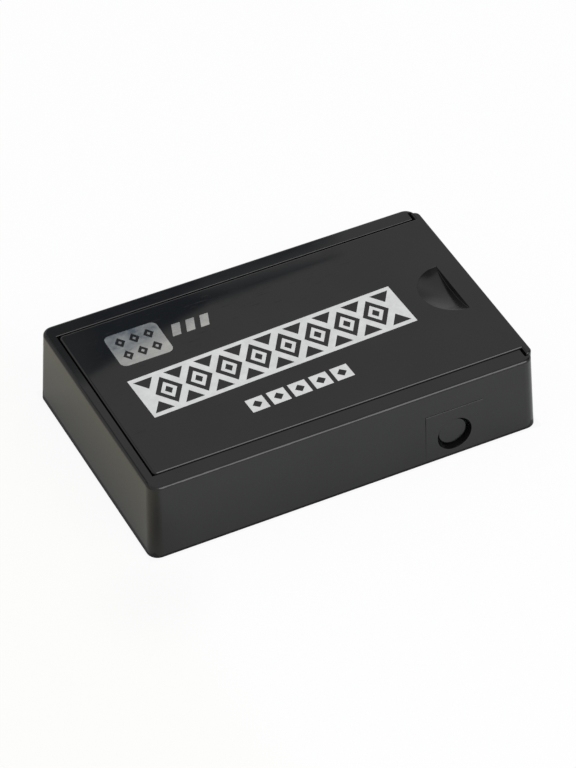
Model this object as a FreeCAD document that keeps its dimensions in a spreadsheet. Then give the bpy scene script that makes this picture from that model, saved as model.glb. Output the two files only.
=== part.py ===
import FreeCAD, Part
import math
import os

import Sketcher
from FreeCAD import Placement, Rotation, Vector

# Magnetic key holder box: a moulded case with a sliding lid, a sprung push button that works the
# lid's catch, and two magnet packs let into the underside.
# Frame: origin at the middle of the underside, +X the way the lid slides off, +Z up, and the long
# wall with the button faces -Y. Millimetres.

doc = FreeCAD.newDocument("magnetic_key_box")

# Driving dimensions. The case is measured at its rim, and its walls lean out towards the base.
SIZES = [
    ("case_length", "99.46"),
    ("case_width", "62.75"),
    ("rim_height", "20.7"),
    ("draft_outset", "0.95"),
    ("corner_radius", "2.8"),
    ("rim_round", "0.75"),
    ("side_wall", "1.75"),
    ("left_wall", "2.45"),
    ("right_wall", "2.4"),
    ("floor_thickness", "1.9"),
    ("cavity_radius", "1.5"),
    # what the lid runs in: the slot's depth below the rim, the rails over it, the ledges under it
    ("slot_depth", "3.5"),
    ("front_rail_width", "4.57"),
    ("back_rail_width", "4.2"),
    ("rail_round", "0.2"),
    ("rail_thickness", "1.6"),
    ("ledge_width", "1.8"),
    ("ledge_thickness", "1.3"),
    # the lid
    ("lid_proud", "0.4"),
    ("lid_overhang", "0.68"),
    ("lid_plate", "1.9"),
    ("lid_skirt", "1.6"),
    ("lid_corner", "1.0"),
    ("lid_round", "0.5"),
    ("lid_side_gap", "0.39"),
    ("lid_shift", "0.325"),
    ("lid_end_gap", "0.4"),
    ("tongue_gap", "0.2"),
    ("tongue_side_gap", "0.475"),
    ("tongue_setback", "2.2"),
    ("flange_thickness", "1.8"),
    ("flange_corner", "1.5"),
    ("notch_width", "0.65"),
    ("rib_thickness", "1.2"),
    ("rib_depth", "1.0"),
    ("rib_spacing", "24.0"),
    ("rib_inset", "17.13"),
    # the thumb recess, a half disc sunk by a small step, its floor dished against an upright wall
    ("thumb_inset", "5.81"),
    ("thumb_radius", "8.5"),
    ("thumb_depth", "1.75"),
    ("thumb_step", "0.2"),
    ("thumb_foot_round", "0.1"),
    ("thumb_lip_round", "0.08"),
    ("thumb_margin", "1.6"),
    # the push button and what guides it
    ("button_inset", "21.53"),
    ("button_z", "6.45"),
    ("button_diameter", "7.5"),
    ("button_hole", "9.05"),
    ("button_recess", "0.95"),
    ("button_round", "0.35"),
    ("button_travel", "1.5"),
    ("guide_bore", "10.2"),
    ("guide_wall", "1.2"),
    ("guide_length", "7.95"),
    ("running_clearance", "0.07"),
    ("flange_clearance", "0.05"),
    ("button_flange", "1.2"),
    ("stem_diameter", "4.0"),
    ("stem_tip_diameter", "3.0"),
    ("retainer_plug", "1.6"),
    ("retainer_collar", "0.8"),
    ("spring_wire", "0.5"),
    ("spring_diameter", "7.4"),
    ("spring_turns", "4.5"),
    ("spring_clearance", "0.03"),
    ("arm_width", "6.0"),
    ("arm_thickness", "1.6"),
    ("arm_foot", "3.0"),
    ("arm_gap", "0.6"),
    ("arm_round", "0.5"),
    ("catch_tab", "1.6"),
    ("catch_tab_gap", "0.3"),
    ("catch_tab_lead", "1.9"),
    # the mark that the button hole's mould insert leaves on the wall: proud at its top edge only
    ("insert_width", "15.2"),
    ("insert_height", "14.1"),
    ("insert_proud", "0.18"),
    ("insert_round", "0.14"),
    # the magnet packs
    ("magnet_inset", "22.73"),
    ("magnet_width", "12.0"),
    ("magnet_length", "26.0"),
    ("magnet_height", "5.5"),
    ("magnet_chamfer", "0.4"),
    ("pole_plate", "1.6"),
    ("pole_height", "6.0"),
    ("pad_thickness", "0.4"),
    ("well_clearance", "0.15"),
    ("well_wall", "1.3"),
    # the hot foil on the lid: a patch and a row of slanted bars beside it
    ("foil_thickness", "0.05"),
    ("foil_left_inset", "8.88"),
    ("foil_back_inset", "5.34"),
    ("foil_length", "13.6"),
    ("foil_width", "11.6"),
    ("foil_corner", "1.6"),
    ("foil_bar", "2.2"),
    ("foil_bar_height", "4.0"),
    ("foil_bar_slant", "1.4"),
    ("foil_bar_pitch", "3.7"),
    ("foil_bar_gap", "1.6"),
    ("foil_bar_rise", "4.6"),
]

# Places that follow from the driving dimensions.
PLACES = [
    ("half_length", "sizes.case_length / 2"),
    ("half_width", "sizes.case_width / 2"),
    ("inner_half_width", "half_width - sizes.side_wall"),
    ("inner_left", "-half_length + sizes.left_wall"),
    ("inner_right", "half_length - sizes.right_wall"),
    ("slot_floor", "sizes.rim_height - sizes.slot_depth"),
    ("rail_bottom", "sizes.rim_height - sizes.rail_thickness"),
    ("lid_top", "sizes.rim_height + sizes.lid_proud"),
    ("lid_underside", "lid_top - sizes.lid_plate"),
    ("lid_bottom", "slot_floor + sizes.tongue_gap"),
    ("lid_left", "inner_left + sizes.lid_end_gap"),
    ("lid_right", "half_length + sizes.lid_overhang"),
    ("flange_left", "lid_right - sizes.flange_thickness"),
    ("rail_end", "flange_left - sizes.notch_width"),
    ("front_rail_edge", "half_width - sizes.front_rail_width"),
    ("back_rail_edge", "half_width - sizes.back_rail_width"),
    ("lid_half_width", "(front_rail_edge + back_rail_edge) / 2 - sizes.lid_side_gap"),
    ("lid_y", "(back_rail_edge - front_rail_edge) / 2 - sizes.lid_shift"),
    ("tongue_half_width", "inner_half_width - sizes.tongue_side_gap"),
    ("tongue_top", "rail_bottom - sizes.tongue_gap"),
    ("thumb_wall", "lid_right - sizes.thumb_inset"),
    ("thumb_dish", "sizes.thumb_depth - sizes.thumb_step"),
    ("thumb_sphere", "(sizes.thumb_radius^2 + thumb_dish^2) / (2 * thumb_dish)"),
    ("button_x", "half_length - sizes.button_inset"),
    ("button_lean", "sizes.draft_outset * (1 - sizes.button_z / sizes.rim_height)"),
    ("button_face", "-half_width - button_lean"),
    ("button_front", "button_face + sizes.button_recess"),
    ("button_seat", "sizes.flange_clearance - inner_half_width"),
    ("button_seat_back", "button_seat + sizes.button_flange"),
    ("guide_end", "-inner_half_width + sizes.guide_length"),
    ("retainer_front", "guide_end - sizes.retainer_plug"),
    ("retainer_back", "guide_end + sizes.retainer_collar"),
    ("arm_front", "retainer_back + sizes.arm_gap"),
    ("arm_back", "arm_front + sizes.arm_thickness"),
    ("magnet_offset", "half_length - sizes.magnet_inset"),
    ("pack_width", "sizes.magnet_width + 2 * sizes.pole_plate"),
    ("well_top", "sizes.pole_height + sizes.pad_thickness"),
    ("well_half_length", "sizes.magnet_length / 2 + sizes.well_clearance"),
    ("well_half_width", "pack_width / 2 + sizes.well_clearance"),
]

# How far a joined feature reaches into the wall that carries it, and a cut past the face it opens.
BITE = "0.5"
PAST = "2"

# Lays a piece modelled along Z down along Y.
ALONG_Y = Rotation(Vector(1, 0, 0), -90)

# Two numbers closer than this are the same place, in millimetres.
SAME = 1e-4

# How many slanted bars stand beside the foil patch.
FOIL_BARS = 3


def make_sheet(name, rows):
    """A spreadsheet with one name and one value or formula in each row."""
    sheet = doc.addObject("Spreadsheet::Sheet", name)
    for row, (alias, content) in enumerate(rows, 1):
        sheet.set(f"A{row}", alias)
        sheet.set(f"B{row}", content)
        sheet.setAlias(f"B{row}", alias)
    doc.recompute()
    return sheet


sizes = make_sheet("sizes", SIZES)
places = make_sheet("places", [(alias, "=" + formula) for alias, formula in PLACES])


def value(expression):
    """The number that an expression over the two sheets gives."""
    return float(places.evalExpression(expression))


def bind(feature, **expressions):
    """Ties properties to expressions over the sheets; _ in a key stands for a dot in the path."""
    for path, expression in expressions.items():
        feature.setExpression(path.replace("_", "."), str(expression))


def at(feature, x, y, z):
    """Ties a feature's position to three expressions."""
    for axis, expression in zip("xyz", (x, y, z)):
        feature.setExpression(f"Placement.Base.{axis}", str(expression))


def new_body(name):
    body = doc.addObject("PartDesign::Body", name)
    body.Label = name
    return body


def new_sketch(body, name, role, offset="0"):
    """A sketch on one of its own body's origin planes, moved along the plane's normal."""
    sketch = body.newObject("Sketcher::SketchObject", name)
    plane = next(f for f in body.Origin.OriginFeatures if f.Role == role)
    sketch.AttachmentSupport = (plane, [""])
    sketch.MapMode = "FlatFace"
    sketch.setExpression("AttachmentOffset.Base.z", offset)
    return sketch


def tie(sketch, kind, name, geometry, point, expression):
    """Holds a sketch point's distance from the sketch's origin to an expression."""
    axis = 0 if kind == "DistanceX" else 1
    start = sketch.getPoint(geometry, point)[axis]
    index = sketch.addConstraint(Sketcher.Constraint(kind, -1, 1, geometry, point, start))
    sketch.renameConstraint(index, name)
    sketch.setExpression("Constraints." + name, expression)


def polygon(sketch, start, corners):
    """A closed outline of straight lines, each corner a pair of numbers and of expressions."""
    count = len(corners)
    first = start
    for i, (here, _) in enumerate(corners):
        there = corners[(i + 1) % count][0]
        sketch.addGeometry(Part.LineSegment(Vector(*here, 0), Vector(*there, 0)))
    for i in range(count):
        link = Sketcher.Constraint("Coincident", first + i, 2, first + (i + 1) % count, 1)
        sketch.addConstraint(link)
    for i, (_, (across, up)) in enumerate(corners):
        tie(sketch, "DistanceX", f"across{first + i}", first + i, 1, across)
        tie(sketch, "DistanceY", f"up{first + i}", first + i, 1, up)


def outline(sketch, corners):
    """A closed outline of straight lines through corners given as pairs of expressions."""
    start = sketch.GeometryCount
    polygon(sketch, start, [((value(a), value(b)), (a, b)) for a, b in corners])


def rounded_rectangle(sketch, left, right, low, high, radius):
    """A rectangle with rounded corners between four expressions."""
    x0, x1, y0, y1, r = (value(e) for e in (left, right, low, high, radius))
    first = sketch.GeometryCount
    ends = [
        ((x0 + r, y0), (x1 - r, y0)),
        ((x1, y0 + r), (x1, y1 - r)),
        ((x1 - r, y1), (x0 + r, y1)),
        ((x0, y1 - r), (x0, y0 + r)),
    ]
    centres = [(x1 - r, y0 + r), (x1 - r, y1 - r), (x0 + r, y1 - r), (x0 + r, y0 + r)]
    quarter = math.pi / 2
    for i in range(4):
        sketch.addGeometry(Part.LineSegment(Vector(*ends[i][0], 0), Vector(*ends[i][1], 0)))
    for i in range(4):
        circle = Part.Circle(Vector(*centres[i], 0), Vector(0, 0, 1), r)
        sketch.addGeometry(Part.ArcOfCircle(circle, (i - 1) * quarter, i * quarter))
    for i in range(4):
        arc = first + 4 + i
        sketch.addConstraint(Sketcher.Constraint("Tangent", first + i, 2, arc, 1))
        sketch.addConstraint(Sketcher.Constraint("Tangent", arc, 2, first + (i + 1) % 4, 1))
        sketch.addConstraint(Sketcher.Constraint("Vertical" if i % 2 else "Horizontal", first + i))
        if i:
            sketch.addConstraint(Sketcher.Constraint("Equal", first + 4, arc))
    index = sketch.addConstraint(Sketcher.Constraint("Radius", first + 4, r))
    sketch.renameConstraint(index, f"radius{first}")
    sketch.setExpression(f"Constraints.radius{first}", radius)
    tie(sketch, "DistanceY", f"low{first}", first, 1, low)
    tie(sketch, "DistanceX", f"right{first}", first + 1, 1, right)
    tie(sketch, "DistanceY", f"high{first}", first + 2, 1, high)
    tie(sketch, "DistanceX", f"left{first}", first + 3, 1, left)


def pad(body, name, sketch, length, **more):
    feature = body.newObject("PartDesign::Pad", name)
    feature.Profile = sketch
    bind(feature, Length=length, **more)
    return feature


def pocket(body, name, sketch, length):
    feature = body.newObject("PartDesign::Pocket", name)
    feature.Profile = sketch
    bind(feature, Length=length)
    return feature


def block(body, name, x, y, z, cut=False):
    """Adds or cuts a box whose sides run between pairs of expressions."""
    kind = "Subtractive" if cut else "Additive"
    feature = body.newObject(f"PartDesign::{kind}Box", name)
    sides = {"Length": x, "Width": y, "Height": z}
    for side, (low, high) in sides.items():
        feature.setExpression(side, f"({high}) - ({low})")
    at(feature, x[0], y[0], z[0])
    return feature


def rod(body, name, radius, y, x, z, cut=False):
    """Adds or cuts a cylinder that runs along Y between a pair of expressions."""
    kind = "Subtractive" if cut else "Additive"
    feature = body.newObject(f"PartDesign::{kind}Cylinder", name)
    feature.Placement = Placement(Vector(), ALONG_Y)
    bind(feature, Radius=radius, Height=f"({y[1]}) - ({y[0]})")
    at(feature, x, y[0], z)
    return feature


def mirrored(low, high):
    """A pair of expressions, and the same pair on the other side of zero."""
    return (low, high), (f"-({high})", f"-({low})")


def fillet(body, name, radius, wanted):
    """Rounds those edges of the body's last feature that a test on their box picks."""
    doc.recompute()
    base = body.Tip
    names = [f"Edge{i}" for i, e in enumerate(base.Shape.Edges, 1) if wanted(e.BoundBox)]
    if not names:
        raise ValueError(f"{body.Label}: {name} found no edge")
    feature = body.newObject("PartDesign::Fillet", name)
    feature.Base = (base, names)
    bind(feature, Radius=radius)
    return feature


def near(a, b):
    return abs(a - b) < SAME


def level(box, height):
    """True for an edge that lies at one height."""
    return near(box.ZMin, height) and near(box.ZMax, height)


def upright(box):
    """True for an edge that stands straight up."""
    return near(box.XMin, box.XMax) and near(box.YMin, box.YMax)


def shell(body):
    """The drafted block, the mould insert's mark and the two levels of the hollow."""
    base = new_sketch(body, "base_outline", "XY_Plane")
    reach = "places.half_length + sizes.draft_outset"
    side = "places.half_width + sizes.draft_outset"
    corners = [(f"-({reach})", f"-({side})"), (reach, f"-({side})"), (reach, side), (f"-({reach})", side)]
    outline(base, corners)
    lean = "-atan(sizes.draft_outset / sizes.rim_height)"
    pad(body, "drafted_block", base, "sizes.rim_height", TaperAngle=lean)
    fillet(body, "corners", "sizes.corner_radius", lambda box: not level(box, box.ZMin))
    insert_mark(body)
    hollow = new_sketch(body, "cavity_outline", "XY_Plane", "sizes.rim_height")
    rounded_rectangle(
        hollow,
        "places.inner_left",
        "places.inner_right",
        "-places.inner_half_width",
        "places.inner_half_width",
        "sizes.cavity_radius",
    )
    pocket(body, "cavity", hollow, "sizes.rim_height - sizes.floor_thickness")
    slot = new_sketch(body, "slot_outline", "XY_Plane", "sizes.rim_height")
    rounded_rectangle(
        slot,
        "places.inner_left",
        f"places.half_length + sizes.draft_outset + {PAST} * sizes.cavity_radius",
        "-places.inner_half_width",
        "places.inner_half_width",
        "sizes.cavity_radius",
    )
    pocket(body, "lid_slot", slot, "sizes.slot_depth")


def insert_mark(body):
    """A wedge on the wall round the button, flush at the base and proud at its top edge."""
    mark = new_sketch(body, "insert_profile", "YZ_Plane", "places.button_x - sizes.insert_width / 2")
    top_lean = "sizes.draft_outset * (1 - sizes.insert_height / sizes.rim_height)"
    outline(
        mark,
        [
            ("-places.inner_half_width", "0"),
            ("-places.inner_half_width", "sizes.insert_height"),
            (f"-places.half_width - {top_lean} - sizes.insert_proud", "sizes.insert_height"),
            ("-places.half_width - sizes.draft_outset", "0"),
        ],
    )
    pad(body, "insert_mark", mark, "sizes.insert_width")
    top = value("sizes.insert_height")
    proud = -value(f"places.half_width + {top_lean} + sizes.insert_proud / 2")
    fillet(body, "insert_edge", "sizes.insert_round", lambda box: level(box, top) and box.YMax < proud)


def runners(body):
    """The rails that hold the lid down and the ledges that it rests on."""
    wall = f"places.inner_half_width + {BITE}"
    rail_x = (f"places.inner_left - {BITE}", "places.rail_end")
    ledge_x = (f"places.inner_left - {BITE}", f"places.inner_right + {BITE}")
    rail_z = ("places.rail_bottom", "sizes.rim_height")
    ledge_z = ("places.slot_floor - sizes.ledge_thickness", "places.slot_floor")
    ledge_edge = "places.inner_half_width - sizes.ledge_width"
    block(body, "front_rail", rail_x, (f"-({wall})", "-places.front_rail_edge"), rail_z)
    block(body, "back_rail", rail_x, ("places.back_rail_edge", wall), rail_z)
    for side, y in zip(("back", "front"), mirrored(ledge_edge, wall)):
        block(body, f"{side}_ledge", ledge_x, y, ledge_z)
    left = (f"places.inner_left - {BITE}", "places.inner_left + sizes.ledge_width")
    across = ("-places.inner_half_width", "places.inner_half_width")
    block(body, "left_ledge", left, across, ledge_z)


def magnet_wells(body):
    """Two boxes raised from the floor, hollowed out from below."""
    rim_x = "places.well_half_width + sizes.well_wall"
    rim_y = "places.well_half_length + sizes.well_wall"
    for side, sign in (("left", "-"), ("right", "")):
        middle = f"{sign}places.magnet_offset"
        x = (f"{middle} - ({rim_x})", f"{middle} + {rim_x}")
        block(body, f"{side}_well", x, (f"-({rim_y})", rim_y), ("0", "places.well_top + sizes.well_wall"))
    for side, sign in (("left", "-"), ("right", "")):
        middle = f"{sign}places.magnet_offset"
        x = (f"{middle} - places.well_half_width", f"{middle} + places.well_half_width")
        y = ("-places.well_half_length", "places.well_half_length")
        block(body, f"{side}_well_hollow", x, y, ("0", "places.well_top"), cut=True)


def button_guide(body):
    """The tube behind the wall that guides the button, and the hole that it shows through."""
    spot = ("places.button_x", "sizes.button_z")
    tube = "sizes.guide_bore / 2 + sizes.guide_wall"
    rod(body, "guide_tube", tube, (f"-places.inner_half_width - {BITE}", "places.guide_end"), *spot)
    bore_y = ("-places.inner_half_width", f"places.guide_end + {PAST}")
    rod(body, "guide_bore", "sizes.guide_bore / 2", bore_y, *spot, cut=True)
    hole_y = (f"places.button_face - {PAST}", f"-places.inner_half_width + {BITE}")
    rod(body, "button_hole", "sizes.button_hole / 2", hole_y, *spot, cut=True)


def make_case():
    body = new_body("case_body")
    shell(body)
    runners(body)
    magnet_wells(body)
    button_guide(body)
    rim = value("sizes.rim_height")
    outer_y = value("places.half_width") - value("sizes.side_wall") / 2
    outer_x = value("places.half_length") - value("sizes.left_wall") / 2
    rails = [value("places.front_rail_edge"), value("places.back_rail_edge")]

    def outer_rim(box):
        outside = max(abs(box.YMin), abs(box.YMax)) > outer_y or box.XMin < -outer_x
        inside = box.XMax > -outer_x and max(box.YMax, -box.YMin) < outer_y
        return level(box, rim) and outside and not inside

    def rail_edge(box):
        return level(box, rim) and near(box.YMin, box.YMax) and any(near(abs(box.YMin), y) for y in rails)

    fillet(body, "rim_edge", "sizes.rim_round", outer_rim)
    fillet(body, "rail_edges", "sizes.rail_round", rail_edge)
    return body


def lid_underside(body):
    """The tray and tongues under the lid, its ribs, the boss under the thumb recess and the tab."""
    under = f"places.lid_underside + {BITE}"
    deep = ("places.lid_bottom", under)
    skirt = "places.lid_half_width - sizes.lid_skirt"
    tray_x = ("places.lid_left + sizes.lid_skirt", "places.flange_left")
    tray_z = (f"places.lid_bottom - {PAST}", "places.lid_underside")
    block(body, "tray", tray_x, (f"-({skirt})", skirt), tray_z, cut=True)
    tongue_x = ("places.lid_left + sizes.tongue_setback", f"places.flange_left + {BITE}")
    tongue_z = ("places.lid_bottom", "places.tongue_top")
    for side, y in zip(("back", "front"), mirrored(skirt, "places.tongue_half_width")):
        block(body, f"{side}_tongue", tongue_x, y, tongue_z)
    across = (f"-({skirt}) - {BITE}", f"{skirt} + {BITE}")
    rib_z = ("places.lid_underside - sizes.rib_depth", under)
    for step, name in enumerate(("rib_one", "rib_two", "rib_three")):
        start = f"places.lid_left + sizes.rib_inset + {step} * sizes.rib_spacing"
        block(body, name, (start, f"{start} + sizes.rib_thickness"), across, rib_z)
    boss = "sizes.thumb_radius + sizes.thumb_margin"
    boss_x = (f"places.thumb_wall - ({boss})", f"places.flange_left + {BITE}")
    block(body, "thumb_boss", boss_x, (f"-({boss})", boss), deep)
    tab_back = "places.button_x - sizes.arm_width / 2 - sizes.catch_tab_gap"
    tab_x = (f"{tab_back} - sizes.catch_tab", tab_back)
    tab_y = (
        "places.arm_front - sizes.catch_tab_lead",
        "places.arm_front + sizes.button_travel - sizes.catch_tab_gap",
    )
    block(body, "catch_tab", tab_x, tab_y, deep)


def thumb_recess(body):
    """A half disc sunk into the lid's top on the left of an upright wall, its floor a ball's cap."""
    sketch = new_sketch(body, "thumb_profile", "XZ_Plane")
    sketch.setExpression("AttachmentOffset.Base.x", "places.thumb_wall")
    edge, step = "-sizes.thumb_radius", "places.lid_top - sizes.thumb_step"
    above, bottom = f"places.lid_top + {PAST}", "places.lid_top - sizes.thumb_depth"
    radius = value("places.thumb_sphere")
    corners = [("0", bottom), ("0", above), (edge, above), (edge, step)]
    points = [Vector(value(x), value(z), 0) for x, z in corners]
    for start, end in zip(points, points[1:]):
        sketch.addGeometry(Part.LineSegment(start, end))
    last = len(points) - 1
    ball = Part.Circle(Vector(0, points[0].y + radius, 0), Vector(0, 0, 1), radius)
    low = math.pi * 3 / 2
    sketch.addGeometry(Part.ArcOfCircle(ball, low - math.asin(-points[last].x / radius), low))
    for line in range(len(corners)):
        sketch.addConstraint(Sketcher.Constraint("Coincident", line, 2, (line + 1) % len(corners), 1))
    sketch.addConstraint(Sketcher.Constraint("PointOnObject", last, 3, -2))
    for line, (x, z) in enumerate(corners):
        tie(sketch, "DistanceX", f"across{line}", line, 1, x)
        tie(sketch, "DistanceY", f"up{line}", line, 1, z)
    dish = body.newObject("PartDesign::Groove", "thumb_recess")
    dish.Profile = sketch
    dish.ReferenceAxis = (sketch, ["V_Axis"])
    dish.Angle = 180
    dish.Midplane = True
    wall, floor, top = (value(e) for e in ("places.thumb_wall", bottom, "places.lid_top"))

    def foot(box):
        return near(box.XMin, wall) and near(box.XMax, wall) and near(box.ZMin, floor)

    def lip(box):
        return level(box, top) and near(box.XMax, wall) and near(box.XMin, wall - value("sizes.thumb_radius"))

    # the step between the two carries both rounds
    fillet(body, "thumb_foot", "min(sizes.thumb_foot_round; sizes.thumb_step / 2)", foot)
    fillet(body, "thumb_lip", "min(sizes.thumb_lip_round; sizes.thumb_step * 0.4)", lip)


def make_lid():
    body = new_body("sliding_lid")
    plate = new_sketch(body, "lid_outline", "XY_Plane", "places.lid_bottom")
    rounded_rectangle(
        plate,
        "places.lid_left",
        "places.lid_right",
        "-places.lid_half_width",
        "places.lid_half_width",
        "sizes.lid_corner",
    )
    pad(body, "lid_block", plate, "places.lid_top - places.lid_bottom")
    flange_y = ("-places.tongue_half_width", "places.tongue_half_width")
    flange_x = ("places.flange_left", "places.lid_right")
    block(body, "end_flange", flange_x, flange_y, ("places.lid_bottom", "places.lid_top"))
    lid_underside(body)
    right = value("places.lid_right")
    reach, top = value("places.tongue_half_width"), value("places.lid_top")

    def flange_corner(box):
        return upright(box) and near(box.XMin, right) and near(abs(box.YMin), reach)

    def top_edge(box):
        return level(box, top)

    fillet(body, "flange_corners", "sizes.flange_corner", flange_corner)
    fillet(body, "top_edges", "sizes.lid_round", top_edge)
    thumb_recess(body)
    body.setExpression("Placement.Base.y", "places.lid_y")
    return body


def turned(name, profile, x, y, z):
    """A body turned about an axis along Y: corners are (radius, distance along the axis)."""
    body = new_body(name)
    sketch = new_sketch(body, f"{name}_profile", "XZ_Plane")
    outline(sketch, profile)
    turn = body.newObject("PartDesign::Revolution", f"{name}_turned")
    turn.Profile = sketch
    turn.ReferenceAxis = (sketch, ["V_Axis"])
    turn.Angle = 360
    body.Placement = Placement(Vector(), ALONG_Y)
    at(body, x, y, z)
    return body


def make_button():
    """The button's head, its stop flange, and the stem that carries the catch arm."""
    head = "sizes.button_diameter / 2"
    flange = "sizes.guide_bore / 2 - sizes.running_clearance"
    seat = "places.button_seat - places.button_front"
    seat_back = f"{seat} + sizes.button_flange"
    stem = "sizes.stem_diameter / 2"
    shoulder = "places.arm_front - places.button_front"
    tip = "sizes.stem_tip_diameter / 2"
    end = "places.arm_back - places.button_front"
    profile = [
        ("0", "0"),
        (head, "0"),
        (head, seat),
        (flange, seat),
        (flange, seat_back),
        (stem, seat_back),
        (stem, shoulder),
        (tip, shoulder),
        (tip, end),
        ("0", end),
    ]
    body = turned("catch_button", profile, "places.button_x", "places.button_front", "sizes.button_z")
    rim = value(head)
    fillet(body, "head_edge", "sizes.button_round", lambda box: level(box, 0) and near(box.XMax, rim))
    return body


def make_retainer():
    """The plug that closes the guide tube behind the spring, its collar cut flat over the floor."""
    bore = "sizes.stem_diameter / 2 + sizes.running_clearance"
    plug = "sizes.guide_bore / 2 - sizes.flange_clearance"
    collar = "sizes.guide_bore / 2 + sizes.guide_wall"
    profile = [
        (bore, "0"),
        (plug, "0"),
        (plug, "sizes.retainer_plug"),
        (collar, "sizes.retainer_plug"),
        (collar, "sizes.retainer_plug + sizes.retainer_collar"),
        (bore, "sizes.retainer_plug + sizes.retainer_collar"),
    ]
    body = turned("catch_retainer", profile, "places.button_x", "places.retainer_front", "sizes.button_z")
    flat = "sizes.button_z - sizes.floor_thickness - sizes.flange_clearance"
    thickness = ("sizes.retainer_plug", f"sizes.retainer_plug + sizes.retainer_collar + {PAST}")
    block(body, "collar_flat", (f"-({collar})", collar), (flat, f"{collar} + {PAST}"), thickness, cut=True)
    return body


def make_spring():
    """A coil of round wire between the button's flange and the retainer."""
    body = new_body("catch_spring")
    wire = new_sketch(body, "wire_section", "XZ_Plane")
    radius = (value("sizes.spring_diameter") - value("sizes.spring_wire")) / 2
    wire.addGeometry(Part.Circle(Vector(radius, 0, 0), Vector(0, 0, 1), value("sizes.spring_wire") / 2))
    tie(wire, "DistanceX", "coil_radius", 0, 3, "(sizes.spring_diameter - sizes.spring_wire) / 2")
    wire.addConstraint(Sketcher.Constraint("PointOnObject", 0, 3, -1))
    index = wire.addConstraint(Sketcher.Constraint("Radius", 0, value("sizes.spring_wire") / 2))
    wire.renameConstraint(index, "wire_radius")
    wire.setExpression("Constraints.wire_radius", "sizes.spring_wire / 2")
    coil = body.newObject("PartDesign::AdditiveHelix", "coil")
    coil.Profile = wire
    coil.ReferenceAxis = (wire, ["V_Axis"])
    coil.Mode = "height-turns-angle"
    room = "places.retainer_front - places.button_seat_back"
    spare = "sizes.spring_wire + 2 * sizes.spring_clearance"
    bind(coil, Height=f"{room} - ({spare})", Turns="sizes.spring_turns")
    body.Placement = Placement(Vector(), ALONG_Y)
    start = f"places.button_seat_back + ({spare}) / 2"
    at(body, "places.button_x", start, "sizes.button_z")
    return body


def make_arm():
    """The upright arm on the end of the button's stem, under the lid's catch tab."""
    body = new_body("catch_arm")
    half = "sizes.arm_width / 2"
    x = (f"places.button_x - {half}", f"places.button_x + {half}")
    z = ("sizes.button_z - sizes.arm_foot", "places.slot_floor")
    block(body, "arm", x, ("places.arm_front", "places.arm_back"), z)
    hole_y = (f"places.arm_front - {PAST}", f"places.arm_back + {PAST}")
    spot = ("places.button_x", "sizes.button_z")
    rod(body, "stem_hole", "sizes.stem_tip_diameter / 2", hole_y, *spot, cut=True)
    low, high = value("places.arm_front"), value("places.arm_back")

    def end_edge(box):
        across = near(box.YMin, low) and near(box.YMax, high)
        return across and near(box.XMin, box.XMax) and near(box.ZMin, box.ZMax)

    fillet(body, "arm_corners", "sizes.arm_round", end_edge)
    return body


def bar(name, x, y, z, chamfer=None):
    """A plain rectangular piece between pairs of expressions, its edges broken if wanted."""
    solid = doc.addObject("Part::Box", name if chamfer is None else f"{name}_block")
    for side, (low, high) in {"Length": x, "Width": y, "Height": z}.items():
        solid.setExpression(side, f"({high}) - ({low})")
    at(solid, x[0], y[0], z[0])
    if chamfer is not None:
        doc.recompute()
        broken = doc.addObject("Part::Chamfer", name)
        broken.Base = solid
        broken.Edges = [(i, chamfer, chamfer) for i in range(1, len(solid.Shape.Edges) + 1)]
        solid = broken
    solid.Label = name
    return solid


def make_magnet_pack(side, sign):
    """A ferrite block between two steel pole plates, held up against the well by a glue pad."""
    middle = f"{sign}places.magnet_offset"
    half = "sizes.magnet_width / 2"
    full = "places.pack_width / 2"
    y = ("-sizes.magnet_length / 2", "sizes.magnet_length / 2")
    magnet_x = (f"{middle} - {half}", f"{middle} + {half}")
    magnet_z = ("sizes.pole_height - sizes.magnet_height", "sizes.pole_height")
    low_x = (f"{middle} - {full}", f"{middle} - {half}")
    high_x = (f"{middle} + {half}", f"{middle} + {full}")
    outer_x, inner_x = (low_x, high_x) if sign else (high_x, low_x)
    plate_z = ("0", "sizes.pole_height")
    pad_x = (f"{middle} - {full}", f"{middle} + {full}")
    return [
        bar(f"{side}_magnet", magnet_x, y, magnet_z, value("sizes.magnet_chamfer")),
        bar(f"{side}_outer_pole_plate", outer_x, y, plate_z),
        bar(f"{side}_inner_pole_plate", inner_x, y, plate_z),
        bar(f"{side}_glue_pad", pad_x, y, ("sizes.pole_height", "places.well_top")),
    ]


def make_foil():
    """Hot foil on the lid: a rounded patch and a row of slanted bars, as separate thin solids."""
    sketch = doc.addObject("Sketcher::SketchObject", "foil_outline")
    at(sketch, "0", "places.lid_y", "places.lid_top")
    left = "places.lid_left + sizes.foil_left_inset"
    right = f"{left} + sizes.foil_length"
    top = "places.lid_half_width - sizes.foil_back_inset"
    bottom = f"{top} - sizes.foil_width"
    rounded_rectangle(sketch, left, right, bottom, top, "sizes.foil_corner")
    low = f"{bottom} + sizes.foil_bar_rise"
    high = f"{low} + sizes.foil_bar_height"
    for step in range(FOIL_BARS):
        start = f"{right} + sizes.foil_bar_gap + {step} * sizes.foil_bar_pitch"
        outline(
            sketch,
            [
                (start, low),
                (f"{start} + sizes.foil_bar", low),
                (f"{start} + sizes.foil_bar + sizes.foil_bar_slant", high),
                (f"{start} + sizes.foil_bar_slant", high),
            ],
        )
    foil = doc.addObject("Part::Extrusion", "foil_label")
    foil.Label = "foil_label"
    foil.Base = sketch
    foil.DirMode = "Normal"
    foil.Solid = True
    bind(foil, LengthFwd="sizes.foil_thickness")
    return foil


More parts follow.
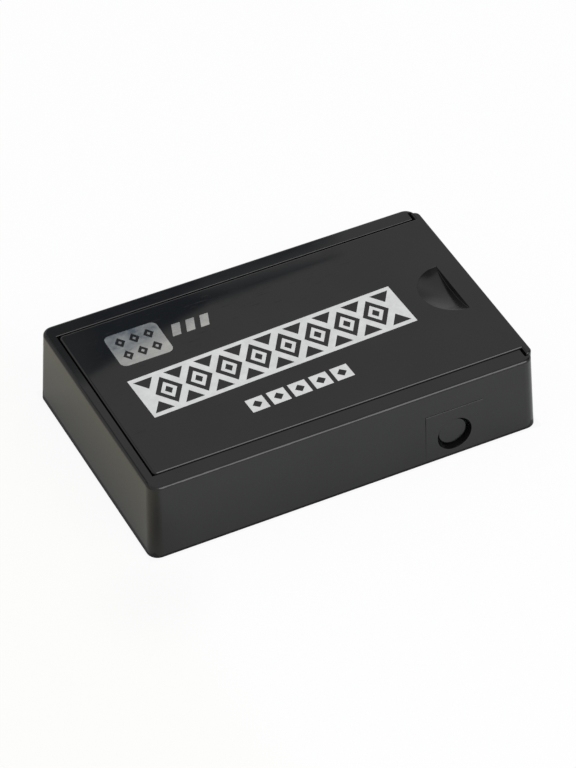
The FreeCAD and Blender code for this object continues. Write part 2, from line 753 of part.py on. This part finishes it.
def check(pieces):
    """Stops if any object failed to build or any piece isn't a valid solid."""
    doc.recompute()
    for thing in doc.Objects:
        if "Invalid" in thing.State or "Error" in thing.State:
            raise RuntimeError(f"{thing.Label} failed: {thing.State}")
    for piece in pieces:
        shape = piece.Shape
        if shape.isNull() or not shape.isValid() or not shape.Solids:
            raise RuntimeError(f"{piece.Label} has no valid solid")


def main():
    pieces = [make_case(), make_lid(), make_button(), make_retainer(), make_spring(), make_arm()]
    pieces += make_magnet_pack("left", "-")
    pieces += make_magnet_pack("right", "")
    pieces.append(make_foil())
    check(pieces)
    os.makedirs("parts", exist_ok=True)
    for piece in pieces:
        piece.Shape.exportStep(os.path.join("parts", piece.Label + ".step"))
        box = piece.Shape.BoundBox
        print(f"{piece.Label}: {box.XLength:.2f} x {box.YLength:.2f} x {box.ZLength:.2f}")


main()
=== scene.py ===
import math

import bpy
from mathutils import Matrix, Vector


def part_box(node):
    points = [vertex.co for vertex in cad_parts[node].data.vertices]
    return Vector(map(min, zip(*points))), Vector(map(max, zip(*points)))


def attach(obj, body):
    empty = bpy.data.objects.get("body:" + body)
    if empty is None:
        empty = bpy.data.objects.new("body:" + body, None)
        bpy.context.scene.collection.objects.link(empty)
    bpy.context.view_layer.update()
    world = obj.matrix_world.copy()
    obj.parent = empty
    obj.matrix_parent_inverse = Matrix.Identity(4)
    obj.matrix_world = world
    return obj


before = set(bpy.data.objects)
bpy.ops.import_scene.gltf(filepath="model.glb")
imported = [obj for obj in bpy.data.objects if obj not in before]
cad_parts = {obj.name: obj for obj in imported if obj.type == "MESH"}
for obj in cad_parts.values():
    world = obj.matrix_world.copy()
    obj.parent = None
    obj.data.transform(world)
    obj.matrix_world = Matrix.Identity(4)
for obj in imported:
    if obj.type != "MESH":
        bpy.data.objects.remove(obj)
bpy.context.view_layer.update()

# Magnetic key holder box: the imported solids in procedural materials, a white print on the lid, and
# a white stage. Metres in the row frame: +X the way the lid slides off, +Z up, and the long wall
# with the button faces -Y.

MM = 0.001

# ---------------------------------------------------------------- what the frame gives
CASE_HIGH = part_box("case_body")[1]
LID_LOW, LID_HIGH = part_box("sliding_lid")
LID_TOP = LID_HIGH.z
LID_MIDDLE_Y = (LID_LOW.y + LID_HIGH.y) / 2
FOIL_LOW, FOIL_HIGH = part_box("foil_label")

# ---------------------------------------------------------------- values of the plastics
# The two greys between which they are cloudy, the two levels of roughness between which each of
# them is patchy, and how those patches are stretched.
PLASTIC_TONES = (0.006, 0.009)
PLASTIC_IOR = 1.49
CASE_ROUGH = (0.02, 0.06)
LID_ROUGH = (0.01, 0.03)
BUTTON_ROUGH = (0.15, 0.25)
PATCH_STRETCH = (1, 1.4, 1)

# The scuffs: their stretch and turn, between which noise levels they fade in, and how much rougher
# they are.
SCUFF_STRETCH, SCUFF_TURN = (1, 14, 6), (0, 0, 0.4)
SCUFF_LEVELS = (0.66, 0.74)
SCUFF_ROUGH = 0.1

# The orange peel, and how the lid's and the case's tops rise towards the long sides: from which
# distance off the middle to which, by how much, and the power of that curve.
PEEL_HEIGHT = 0.00006 * MM
LID_RISE = {"start": 22.8 * MM, "end": 26.6 * MM, "rise": 0.0042 * MM, "power": 2}
CASE_RISE = {"start": 27.0 * MM, "end": 31.4 * MM, "rise": 0.0082 * MM, "power": 1}

# The thumb recess: the middle of its upright wall's top, how far it reaches from there, how far
# down its satin finish starts, and how much rougher that is than the lid around it.
THUMB_INSET = 5.81 * MM
THUMB_RECESS = {
    "centre": (LID_HIGH.x - THUMB_INSET, 0, LID_TOP),
    "reach": 8.8 * MM,
    "below": 0.05 * MM,
}
RECESS_SATIN = 0.13

# ---------------------------------------------------------------- values of the other materials
# Two tones and two levels of roughness for each. A grain or clouds go from one to the other.
INK_TONES = ((0.67, 0.67, 0.67), (0.77, 0.77, 0.765))
INK_ROUGH = (0.42, 0.55)
FERRITE_TONES = ((0.02, 0.02, 0.021), (0.065, 0.064, 0.063))
FERRITE_ROUGH = (0.55, 0.8)
GLUE_TONES = ((0.42, 0.33, 0.16), (0.58, 0.5, 0.3))
GLUE_ROUGH = (0.3, 0.5)

# The steels: their colours, the share of them that the darkest grain has, their roughness, and how
# the pole plates' grain is stretched.
SPRING_STEEL = (0.6, 0.6, 0.61)
POLE_STEEL = (0.5, 0.5, 0.51)
STEEL_SHADE = 0.75
SPRING_ROUGH = (0.2, 0.35)
POLE_ROUGH = (0.3, 0.45)
POLE_STRETCH = (8, 1, 8)

# The foil, and the tone of what shows where it is left bare.
FOIL_TONES = ((0.66, 0.65, 0.62), (0.8, 0.785, 0.74))
FOIL_ROUGH = (0.03, 0.08)
FOIL_BARE = (0.008, 0.008, 0.008)

# The foil patch's middle, and the diamonds left bare on it, along X and Y: how many there are and
# at what pitch. Their size, and that of the foil inside them, is in half pitches.
FOIL_PATCH_LENGTH = 13.6 * MM
FOIL_PATCH_MIDDLE = (FOIL_LOW.x + FOIL_PATCH_LENGTH / 2, (FOIL_LOW.y + FOIL_HIGH.y) / 2)
FOIL_COUNT = (3, 2)
FOIL_PITCH = (3.7 * MM, 4.9 * MM)
FOIL_DIAMOND = 0.74
FOIL_DIAMOND_HOLE = FOIL_DIAMOND / 3

# ---------------------------------------------------------------- values of the lid's print
PRINT_THICKNESS = 0.02 * MM
PRINT_TILT = math.radians(2.1)

# The band: its size, its place from the lid's left end and from its middle line, its chain of
# diamonds in diamonds (widths and heights, from the outermost in), and the triangles over and under
# the chain (their width, and how far their base and their tip are from the band's middle line).
BAND_LENGTH, BAND_WIDTH = 70.0 * MM, 14.2 * MM
BAND_INSET = 7.98 * MM
BAND_FORWARD = 1.16 * MM
BAND_MIDDLE = Vector((LID_LOW.x + BAND_INSET + BAND_LENGTH / 2, LID_MIDDLE_Y - BAND_FORWARD))
CHAIN_COUNT = 8
CHAIN_PITCH = 7.9 * MM
CHAIN_DIAMONDS = ((7.1 * MM, 10.0 * MM), (4.3 * MM, 6.0 * MM), (2.1 * MM, 2.9 * MM))
TRIANGLE_WIDTH = 5.0 * MM
TRIANGLE_BASE, TRIANGLE_TIP = 5.9 * MM, 2.4 * MM

# The marks: their row's place from the band's middle, the squares and the diamonds in them.
MARKS_MIDDLE = BAND_MIDDLE - Vector((0.3 * MM, 14.5 * MM))
MARK_COUNT = 5
MARK_PITCH = 5.6 * MM
MARK_SIDE = 4.5 * MM
MARK_DIAMOND = 2.6 * MM

# ---------------------------------------------------------------- values of the floor
# How far it reaches, its paints, where the warm one fades in to the left, the place and size of the
# patch of painted shade off the box's front left corner, and how near to the box the painted contact
# shadow at its foot fades in.
FLOOR_REACH = 3.0
FLOOR_PAINT = (0.93, 0.935, 0.945)
FLOOR_PAINT_WARM = (0.83, 0.795, 0.65)
# The last two paints are painted shade: a patch off the box's front left corner, and a line at its
# foot that stands in for its contact shadow.
FLOOR_PAINTED_SHADE = (0.5, 0.48, 0.44)
FLOOR_PAINTED_CONTACT_SHADOW = (0.4, 0.4, 0.4)
FLOOR_WARM_FROM = (45 * MM, 60 * MM)
FLOOR_SHADE_CENTRE = (-56 * MM, -43 * MM, 0)
FLOOR_SHADE_RADIUS = 21 * MM
FLOOR_CONTACT_SHADOW_FADE = (0.85 * MM, 0.5 * MM)

# How much of the floor is plain white: to the camera, and the share of that in reflections.
FLOOR_GLOW = 0.93
FLOOR_GLOW_MIRRORED = 0.03

# ---------------------------------------------------------------- values of the light
KEY_PLACE = (0.37, -0.72, 0.76)
KEY_TARGET = (0, 0, 10 * MM)
KEY_SIZE = (0.8, 0.8)
KEY_POWER = 5.7
SKY_TINT = (0.98, 0.99, 1.0)
SKY_LEVEL = 0.63
BACKDROP = (0.8, 0.8, 0.8)

# The room in reflections. A dark screen stands behind the box: a band just under either of two
# planes, and to the left of a third, all through the scene's middle and given by their normals. Its
# far left part is paler. Each edge is softened between two products of a reflected direction with
# the plane's normal.
ROOM_LIT = (0.6, 0.6, 0.6)
SCREEN_TOP = (0.213, -0.721, 0.659)
SCREEN_TOP_RIGHT = (0.036, -0.696, 0.717)
SCREEN_TOP_EDGE = (-0.0004, 0.0010)
SCREEN_FOOT_EDGE = (-0.05, -0.09)
SCREEN_SIDE = (0.892, -0.452, 0)
SCREEN_SIDE_EDGE = (-0.004, 0.002)
SCREEN_LEFT_EDGE = (-0.061, -0.068)
SCREEN_DARK = (0.08, 0.11, 0.15)
SCREEN_LEFT = (0.18, 0.2, 0.21)

# Caps in that room: the direction they lie in, the products between which they fade in, the tone.
LOW_CORNER = ((0.763, 0.64, 0.087), (0.86, 1.0), (0.2, 0.2, 0.21))
HIGH_CORNER = ((0.667, -0.1615, 0.727), (0.887, 0.907), (0.05, 0.05, 0.055))
WINDOW = ((0.417, 0.855, 0.309), (0.94, 0.975), (0.63, 0.63, 0.64))
CEILING = ((0.3, -0.6, 0.74), (0.7, 0.95), (1.1, 1.1, 1.15))

# ---------------------------------------------------------------- values of the camera
# Angles in degrees. The lens and the sensor are in millimetres, as Blender has them. The camera
# faces its centre from that distance, and is then moved to its left and down by the lengths of
# CAMERA_ASIDE.
CAMERA_AZIMUTH = 25.847
CAMERA_ELEVATION = 42.07
CAMERA_ROLL = -0.871
CAMERA_CENTRE = (0.2735 * MM, -0.175 * MM, 0)
CAMERA_DISTANCE = 921.047 * MM
CAMERA_ASIDE = (0.066 * MM, -5.906 * MM)
CAMERA_LENS = 240.27
CAMERA_SENSOR = 36
CAMERA_CLIP = (0.05, 20)


# ---------------------------------------------------------------- helpers
def new_object(name, data):
    thing = bpy.data.objects.new(name, data)
    bpy.context.scene.collection.objects.link(thing)
    return thing


def emptied(owner, output):
    """The node tree of a material or world with nothing but an output, and that output's socket."""
    owner.use_nodes = True
    tree = owner.node_tree
    tree.nodes.clear()
    return tree, tree.nodes.new(output).inputs["Surface"]


def new_material(name):
    material = bpy.data.materials.new(name)
    tree, surface = emptied(material, "ShaderNodeOutputMaterial")
    shader = tree.nodes.new("ShaderNodeBsdfPrincipled")
    tree.links.new(shader.outputs["BSDF"], surface)
    return material, tree, shader


def coordinates(tree, scale=(1, 1, 1), rotation=(0, 0, 0)):
    """Object coordinates, which are the row frame in metres, stretched by a scale."""
    source = tree.nodes.new("ShaderNodeTexCoord")
    mapping = tree.nodes.new("ShaderNodeMapping")
    mapping.inputs["Scale"].default_value = scale
    mapping.inputs["Rotation"].default_value = rotation
    tree.links.new(source.outputs["Object"], mapping.inputs["Vector"])
    return mapping.outputs["Vector"]


def axes(tree, vector):
    """A vector's X, Y and Z, each an output."""
    node = tree.nodes.new("ShaderNodeSeparateXYZ")
    tree.links.new(vector, node.inputs["Vector"])
    return node.outputs


def noise(tree, vector, scale, detail=3.0, roughness=0.5):
    node = tree.nodes.new("ShaderNodeTexNoise")
    node.inputs["Scale"].default_value = scale
    node.inputs["Detail"].default_value = detail
    node.inputs["Roughness"].default_value = roughness
    tree.links.new(vector, node.inputs["Vector"])
    return node.outputs["Fac"]


def blend(tree, factor, low, high, start=0.3, end=0.7):
    """A ramp from one value or colour at the start level to another at the end level."""
    node = tree.nodes.new("ShaderNodeValToRGB")
    stops = ((start, low), (end, high))
    for element, (position, colour) in zip(node.color_ramp.elements, stops):
        element.position = position
        element.color = (*colour, 1) if isinstance(colour, tuple) else (colour, colour, colour, 1)
    tree.links.new(factor, node.inputs["Fac"])
    return node.outputs["Color"]


def math_node(tree, operation, a, b=None):
    node = tree.nodes.new("ShaderNodeMath")
    node.operation = operation
    for socket, value in zip(node.inputs, (a, b)):
        if value is None:
            continue
        if isinstance(value, (int, float)):
            socket.default_value = value
        else:
            tree.links.new(value, socket)
    return node.outputs[0]


def measured(tree, operation, vector, fixed):
    """The distance or the dot product of a vector and a fixed one."""
    node = tree.nodes.new("ShaderNodeVectorMath")
    node.operation = operation
    tree.links.new(vector, node.inputs[0])
    node.inputs[1].default_value = fixed
    return node.outputs["Value"]


def soft_step(tree, value, start, end):
    """Zero before the start and one past the end, whichever of the two is the larger."""
    node = tree.nodes.new("ShaderNodeMapRange")
    tree.links.new(value, node.inputs["Value"])
    node.inputs["From Min"].default_value = start
    node.inputs["From Max"].default_value = end
    return node.outputs["Result"]


def mixed(tree, factor, low, high):
    """A colour between two others, each of them a colour or an output."""
    node = tree.nodes.new("ShaderNodeMix")
    node.data_type = "RGBA"
    tree.links.new(factor, node.inputs["Factor"])
    for side, colour in (("A", low), ("B", high)):
        if isinstance(colour, tuple):
            node.inputs[side].default_value = (*colour, 1)
        else:
            tree.links.new(colour, node.inputs[side])
    return node.outputs["Result"]


def mixed_shader(tree, factor, first, second):
    node = tree.nodes.new("ShaderNodeMixShader")
    for socket, value in zip(node.inputs, (factor, first, second)):
        tree.links.new(value, socket)
    return node.outputs["Shader"]


def coat(tree, shader, colour, rough):
    """Gives a shader its colour and its roughness."""
    tree.links.new(colour, shader.inputs["Base Color"])
    tree.links.new(rough, shader.inputs["Roughness"])


def bump(tree, shader, height, distance, strength=1.0):
    node = tree.nodes.new("ShaderNodeBump")
    node.inputs["Strength"].default_value = strength
    node.inputs["Distance"].default_value = distance
    tree.links.new(height, node.inputs["Height"])
    tree.links.new(node.outputs["Normal"], shader.inputs["Normal"])


# ---------------------------------------------------------------- materials
def moulded_plastic(name, rough, rise=None, recess=None):
    """Black moulded plastic: cloudy gloss, fine orange peel, sparse scuffs and a satin recess."""
    material, tree, shader = new_material(name)
    shader.inputs["IOR"].default_value = PLASTIC_IOR
    clouds = noise(tree, coordinates(tree), scale=45, detail=4)
    colour = blend(tree, clouds, *PLASTIC_TONES)
    patches = noise(tree, coordinates(tree, PATCH_STRETCH), scale=70, detail=5, roughness=0.6)
    streaks = noise(tree, coordinates(tree, SCUFF_STRETCH, SCUFF_TURN), scale=160, detail=2)
    scuffs = blend(tree, streaks, 0.0, SCUFF_ROUGH, *SCUFF_LEVELS)
    roughness = math_node(tree, "ADD", blend(tree, patches, *rough), scuffs)
    if recess:
        satin = math_node(tree, "MULTIPLY", in_recess(tree, **recess), RECESS_SATIN)
        roughness = math_node(tree, "ADD", roughness, satin)
    coat(tree, shader, colour, roughness)
    peel = noise(tree, coordinates(tree), scale=900, detail=2)
    height = math_node(tree, "MULTIPLY", peel, PEEL_HEIGHT)
    if rise:
        height = math_node(tree, "ADD", height, side_rise(tree, **rise))
    bump(tree, shader, height, distance=1.0)
    return material


def side_rise(tree, start, end, rise, power):
    """How a top rises a little towards its two long sides, as a moulding does over its walls."""
    offset = math_node(tree, "SUBTRACT", axes(tree, coordinates(tree))["Y"], LID_MIDDLE_Y)
    aside = math_node(tree, "ABSOLUTE", offset)
    share = math_node(tree, "POWER", soft_step(tree, aside, start, end), power)
    return math_node(tree, "MULTIPLY", share, rise)


def in_recess(tree, centre, reach, below):
    """One inside a round recess, from a little way under the surface that it is sunk into."""
    vector = coordinates(tree)
    near = math_node(tree, "LESS_THAN", measured(tree, "DISTANCE", vector, centre), reach)
    sunk = math_node(tree, "LESS_THAN", axes(tree, vector)["Z"], centre[2] - below)
    return math_node(tree, "MULTIPLY", near, sunk)


def white_ink():
    """Screen-printed white ink, with a faint mottle where the plastic shows through."""
    material, tree, shader = new_material("white_ink")
    mottle = noise(tree, coordinates(tree), scale=500, detail=4)
    rough = blend(tree, noise(tree, coordinates(tree), scale=120), *INK_ROUGH)
    coat(tree, shader, blend(tree, mottle, *INK_TONES), rough)
    bump(tree, shader, mottle, distance=0.004 * MM, strength=0.6)
    return material


def hot_foil():
    """Bright stamped foil with two rows of diamonds left bare, and the small dents under it."""
    material, tree, shader = new_material("hot_foil")
    bare = foil_motifs(tree)
    tree.links.new(math_node(tree, "SUBTRACT", 1.0, bare), shader.inputs["Metallic"])
    clouds = noise(tree, coordinates(tree), scale=150)
    colour = mixed(tree, bare, blend(tree, clouds, *FOIL_TONES), FOIL_BARE)
    rough = blend(tree, noise(tree, coordinates(tree), scale=300), *FOIL_ROUGH)
    coat(tree, shader, colour, rough)
    bump(tree, shader, noise(tree, coordinates(tree), scale=200), distance=0.003 * MM)
    return material


def foil_motifs(tree):
    """One on the hollow diamonds that are left bare, and zero on the foil."""
    place = axes(tree, coordinates(tree))
    apart, within = [], []
    for axis, middle, count, pitch in zip("XY", FOIL_PATCH_MIDDLE, FOIL_COUNT, FOIL_PITCH):
        last = middle + (count - 1) / 2 * pitch
        nearest = math_node(tree, "SUBTRACT", place[axis], last)
        nearest = math_node(tree, "PINGPONG", nearest, pitch / 2)
        apart.append(math_node(tree, "DIVIDE", nearest, pitch / 2))
        aside = math_node(tree, "ABSOLUTE", math_node(tree, "SUBTRACT", place[axis], middle))
        within.append(math_node(tree, "LESS_THAN", aside, count * pitch / 2))
    distance = math_node(tree, "ADD", *apart)
    inside = math_node(tree, "LESS_THAN", distance, FOIL_DIAMOND)
    outside_hole = math_node(tree, "GREATER_THAN", distance, FOIL_DIAMOND_HOLE)
    ring = math_node(tree, "MULTIPLY", inside, outside_hole)
    return math_node(tree, "MULTIPLY", ring, math_node(tree, "MULTIPLY", *within))


def brushed_metal(name, colour, rough, stretch=(1, 1, 1)):
    """Bare steel with a fine grain, which runs along an axis where it is stretched."""
    material, tree, shader = new_material(name)
    shader.inputs["Metallic"].default_value = 1.0
    grain = noise(tree, coordinates(tree, stretch), scale=220, detail=4)
    shade = tuple(part * STEEL_SHADE for part in colour)
    coat(tree, shader, blend(tree, grain, shade, colour), blend(tree, grain, *rough))
    bump(tree, shader, grain, distance=0.01 * MM, strength=0.4)
    return material


def ferrite():
    """Sintered ferrite: charcoal, matte and finely pitted."""
    material, tree, shader = new_material("ferrite")
    grain = noise(tree, coordinates(tree), scale=600, detail=6, roughness=0.7)
    colour = blend(tree, grain, *FERRITE_TONES, end=0.75)
    coat(tree, shader, colour, blend(tree, grain, *FERRITE_ROUGH))
    bump(tree, shader, grain, distance=0.04 * MM, strength=0.6)
    return material


def glue():
    """Set amber adhesive."""
    material, tree, shader = new_material("glue")
    clouds = noise(tree, coordinates(tree), scale=200, detail=4)
    coat(tree, shader, blend(tree, clouds, *GLUE_TONES), blend(tree, clouds, *GLUE_ROUGH))
    bump(tree, shader, clouds, distance=0.05 * MM, strength=0.5)
    return material


def dress(node, material):
    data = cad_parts[node].data
    data.materials.clear()
    data.materials.append(material)


# ---------------------------------------------------------------- the lid's white print
def outline_to_mesh(name, loops, thickness, height):
    """A flat filled shape with even-odd holes, given as loops of points in metres."""
    curve = bpy.data.curves.new(name, "CURVE")
    curve.dimensions = "2D"
    curve.fill_mode = "BOTH"
    curve.extrude = thickness / 2
    for loop in loops:
        spline = curve.splines.new("POLY")
        spline.points.add(len(loop) - 1)
        for point, (x, y) in zip(spline.points, loop):
            point.co = (x, y, 0, 1)
        spline.use_cyclic_u = True
    source = new_object(name + "_outline", curve)
    bpy.context.view_layer.update()
    shape = source.evaluated_get(bpy.context.evaluated_depsgraph_get())
    mesh = bpy.data.meshes.new_from_object(shape)
    bpy.data.objects.remove(source)
    mesh.transform(Matrix.Translation((0, 0, height + thickness / 2)))
    return new_object(name, mesh)


def row(count, pitch):
    """Where the middles of a centred row of things are."""
    return [(step - (count - 1) / 2) * pitch for step in range(count)]


def rectangle(x, width, height):
    """Corners of a box about a point on the middle line."""
    w, h = width / 2, height / 2
    return [(x - w, -h), (x + w, -h), (x + w, h), (x - w, h)]


def diamond(x, width, height):
    """Corners of a diamond about a point on the middle line."""
    return [(x - width / 2, 0), (x, -height / 2), (x + width / 2, 0), (x, height / 2)]


def turned(loops, middle, angle):
    """Loops drawn about the origin, turned and moved to their place on the lid."""
    turn = Matrix.Rotation(angle, 2)
    return [[middle + turn @ Vector(point) for point in loop] for loop in loops]


def band_loops():
    """A white band with a chain of dark diamonds between two rows of dark triangles."""
    loops = [rectangle(0, BAND_LENGTH, BAND_WIDTH)]
    for x in row(CHAIN_COUNT, CHAIN_PITCH):
        loops += [diamond(x, *size) for size in CHAIN_DIAMONDS]
    half = TRIANGLE_WIDTH / 2
    for x in row(CHAIN_COUNT + 1, CHAIN_PITCH):
        for side in (1, -1):
            base, tip = side * TRIANGLE_BASE, side * TRIANGLE_TIP
            loops.append([(x - half, base), (x + half, base), (x, tip)])
    return loops


def mark_loops():
    """A row of white squares, each with a diamond left bare in its middle."""
    loops = []
    for x in row(MARK_COUNT, MARK_PITCH):
        loops.append(rectangle(x, MARK_SIDE, MARK_SIDE))
        loops.append(diamond(x, MARK_DIAMOND, MARK_DIAMOND))
    return loops


def print_pieces():
    """The band and the marks, both of the same ink and tilted alike."""
    ink = white_ink()
    for name, loops, middle in (
        ("lid_print_band", band_loops(), BAND_MIDDLE),
        ("lid_print_marks", mark_loops(), MARKS_MIDDLE),
    ):
        placed = turned(loops, middle, PRINT_TILT)
        piece = outline_to_mesh(name, placed, PRINT_THICKNESS, LID_TOP)
        piece.data.materials.append(ink)
        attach(piece, "lid")


# ---------------------------------------------------------------- stage, light and camera
def stage_white():
    """The floor: almost plain white to the camera, with some shadow kept, and paint otherwise."""
    material = bpy.data.materials.new("stage_white")
    tree, surface = emptied(material, "ShaderNodeOutputMaterial")
    paint = tree.nodes.new("ShaderNodeBsdfDiffuse")
    tree.links.new(floor_paint(tree), paint.inputs["Color"])
    glow = tree.nodes.new("ShaderNodeEmission")
    path = tree.nodes.new("ShaderNodeLightPath").outputs
    mirrored = math_node(tree, "MULTIPLY", path["Is Glossy Ray"], FLOOR_GLOW_MIRRORED)
    seen = math_node(tree, "ADD", path["Is Camera Ray"], mirrored)
    seen = math_node(tree, "ADD", seen, path["Is Transmission Ray"])
    share = math_node(tree, "MULTIPLY", math_node(tree, "MINIMUM", seen, 1.0), FLOOR_GLOW)
    look = mixed_shader(tree, share, paint.outputs["BSDF"], glow.outputs["Emission"])
    tree.links.new(look, surface)
    return material


def floor_paint(tree):
    """Pale paint, warm to the left of the box, with painted shade off its front left corner and a
    painted contact shadow at its foot.
    """
    vector = coordinates(tree)
    place = axes(tree, vector)
    leftward = math_node(tree, "MULTIPLY", place["X"], -1.0)
    warm = soft_step(tree, leftward, *FLOOR_WARM_FROM)
    paint = mixed(tree, warm, FLOOR_PAINT, FLOOR_PAINT_WARM)
    # Painted shade: the floor is painted darker in a soft patch off the box's front left corner,
    # which that corner mirrors.
    from_patch = measured(tree, "DISTANCE", vector, FLOOR_SHADE_CENTRE)
    painted_shade = soft_step(tree, from_patch, FLOOR_SHADE_RADIUS, 0.0)
    painted_shade.node.interpolation_type = "SMOOTHSTEP"
    paint = mixed(tree, painted_shade, paint, FLOOR_PAINTED_SHADE)
    # Painted contact shadow: the floor is painted dark in a thin line round the box's foot, which
    # its walls mirror.
    away = []
    for axis, half in (("X", CASE_HIGH.x), ("Y", CASE_HIGH.y)):
        aside = math_node(tree, "ABSOLUTE", place[axis])
        away.append(math_node(tree, "SUBTRACT", aside, half))
    painted_contact_shadow = soft_step(tree, math_node(tree, "MAXIMUM", *away), *FLOOR_CONTACT_SHADOW_FADE)
    return mixed(tree, painted_contact_shadow, paint, FLOOR_PAINTED_CONTACT_SHADOW)


def stage():
    mesh = bpy.data.meshes.new("floor")
    signs = ((-1, -1), (1, -1), (1, 1), (-1, 1))
    corners = [(x * FLOOR_REACH, y * FLOOR_REACH, 0) for x, y in signs]
    mesh.from_pydata(corners, [], [(0, 1, 2, 3)])
    mesh.materials.append(stage_white())
    floor = new_object("floor", mesh)


def key_light():
    light = bpy.data.lights.new("key", "AREA")
    light.shape = "RECTANGLE"
    light.size, light.size_y = KEY_SIZE
    light.energy = KEY_POWER
    lamp = new_object("key", light)
    lamp.location = KEY_PLACE
    aim = Vector(KEY_TARGET) - Vector(KEY_PLACE)
    lamp.rotation_euler = aim.to_track_quat("-Z", "Y").to_euler()


def background(tree, colour, strength=1.0):
    """A world shader of a colour or of an output."""
    node = tree.nodes.new("ShaderNodeBackground")
    node.inputs["Strength"].default_value = strength
    if isinstance(colour, tuple):
        node.inputs["Color"].default_value = (*colour, 1)
    else:
        tree.links.new(colour, node.inputs["Color"])
    return node.outputs["Background"]


def surroundings():
    """An even sky that lights the box, the room that gloss sees, and a backdrop for the camera."""
    world = bpy.data.worlds.new("studio")
    tree, surface = emptied(world, "ShaderNodeOutputWorld")
    path = tree.nodes.new("ShaderNodeLightPath").outputs
    sky = background(tree, SKY_TINT, SKY_LEVEL)
    room = background(tree, room_tone(tree))
    light = mixed_shader(tree, path["Is Glossy Ray"], sky, room)
    backdrop = background(tree, BACKDROP)
    tree.links.new(mixed_shader(tree, path["Is Camera Ray"], light, backdrop), surface)
    bpy.context.scene.world = world


def room_tone(tree):
    """The room in reflections: pale, with a dark screen behind the box and four soft caps."""
    direction = tree.nodes.new("ShaderNodeTexCoord").outputs["Generated"]

    def toward(way):
        return measured(tree, "DOT_PRODUCT", direction, way)

    height = math_node(tree, "MINIMUM", toward(SCREEN_TOP), toward(SCREEN_TOP_RIGHT))
    side = toward(SCREEN_SIDE)
    above = soft_step(tree, height, *SCREEN_TOP_EDGE)
    below = soft_step(tree, height, *SCREEN_FOOT_EDGE)
    past_side = soft_step(tree, side, *SCREEN_SIDE_EDGE)
    clear = math_node(tree, "MAXIMUM", math_node(tree, "MAXIMUM", above, below), past_side)
    screen = mixed(tree, soft_step(tree, side, *SCREEN_LEFT_EDGE), SCREEN_DARK, SCREEN_LEFT)
    tone = mixed(tree, clear, screen, ROOM_LIT)
    for way, edge, colour in (LOW_CORNER, HIGH_CORNER, WINDOW, CEILING):
        tone = mixed(tree, soft_step(tree, toward(way), *edge), tone, colour)
    return tone


def camera():
    az, el, roll = (math.radians(a) for a in (CAMERA_AZIMUTH, CAMERA_ELEVATION, CAMERA_ROLL))
    away = Vector((-math.sin(az) * math.cos(el), -math.cos(az) * math.cos(el), math.sin(el)))
    flat_right = (-away).cross(Vector((0, 0, 1))).normalized()
    flat_up = flat_right.cross(-away)
    right = math.cos(roll) * flat_right + math.sin(roll) * flat_up
    up = -math.sin(roll) * flat_right + math.cos(roll) * flat_up
    place = Vector(CAMERA_CENTRE) + away * CAMERA_DISTANCE
    place -= right * CAMERA_ASIDE[0] + up * CAMERA_ASIDE[1]
    lens = bpy.data.cameras.new("camera")
    lens.sensor_fit = "HORIZONTAL"
    lens.sensor_width = CAMERA_SENSOR
    lens.lens = CAMERA_LENS
    lens.clip_start, lens.clip_end = CAMERA_CLIP
    view = new_object("camera", lens)
    turn = Matrix((right, up, away)).transposed()
    view.matrix_world = Matrix.Translation(place) @ turn.to_4x4()
    bpy.context.scene.camera = view


# ---------------------------------------------------------------- putting it together
def dress_nodes():
    """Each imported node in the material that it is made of."""
    dress("case_body", moulded_plastic("case_plastic", CASE_ROUGH, CASE_RISE))
    dress("sliding_lid", moulded_plastic("lid_plastic", LID_ROUGH, LID_RISE, THUMB_RECESS))
    dress("foil_label", hot_foil())
    button = moulded_plastic("button_plastic", BUTTON_ROUGH)
    for node in ("catch_button", "catch_arm", "catch_retainer"):
        dress(node, button)
    dress("catch_spring", brushed_metal("spring_steel", SPRING_STEEL, SPRING_ROUGH))
    steel = brushed_metal("pole_steel", POLE_STEEL, POLE_ROUGH, POLE_STRETCH)
    stone, bond = ferrite(), glue()
    for side in ("left", "right"):
        dress(f"{side}_outer_pole_plate", steel)
        dress(f"{side}_inner_pole_plate", steel)
        dress(f"{side}_magnet", stone)
        dress(f"{side}_glue_pad", bond)


def main():
    bpy.context.scene.view_settings.view_transform = "Standard"
    dress_nodes()
    print_pieces()
    stage()
    key_light()
    surroundings()
    camera()


main()
